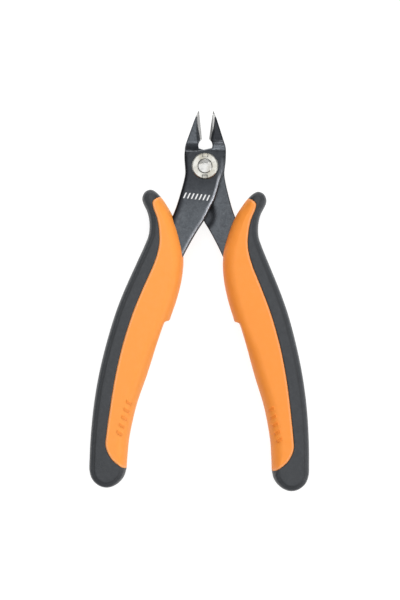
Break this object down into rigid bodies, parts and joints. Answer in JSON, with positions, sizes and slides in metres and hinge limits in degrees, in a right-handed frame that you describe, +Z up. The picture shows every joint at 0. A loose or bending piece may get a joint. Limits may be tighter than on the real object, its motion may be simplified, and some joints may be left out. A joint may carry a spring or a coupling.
{
  "type": "diagonal cutting pliers",
  "caption": "Small lap-jointed diagonal cutting pliers with slim pointed jaws, a slotted pivot nut, a hidden return spring and curved two-colour moulded grips.",
  "frame": {"origin": "centre of the tool's plan view, on the flat back of the grips it lies on", "axes": "+Y towards the jaw tips along the centre line, +Z up out of the face that carries the slotted nut, +X to the right seen from that face"},
  "size_m": [0.0736, 0.1266, 0.012],
  "materials": {
    "black_steel": "black oxide, satin, ground bright along the cutting edges",
    "plated_steel": "bright nickel plate",
    "spring_steel": "oiled dark wire",
    "charcoal_grip": "fine matt moulded grain",
    "orange_grip": "satin moulded, soft"
  },
  "bodies": {
    "upper_half": {"front_plate": "black_steel", "pivot_screw": "plated_steel", "pivot_nut": "plated_steel", "return_spring": "spring_steel", "left_grip_core": "charcoal_grip", "left_grip_cover": "orange_grip"},
    "lower_half": {"rear_plate": "black_steel", "right_grip_core": "charcoal_grip", "right_grip_cover": "orange_grip"}
  },
  "joints": [
    {"name": "jaw_pivot", "type": "hinge", "parent": "upper_half", "child": "lower_half", "pos_m": [0, 0.0447, 0.006], "axis": [0, 0, 1], "range_deg": [-14, 3], "stiffness_Nm_per_rad": 1.5, "deforming": ["return_spring"]}
  ]
}
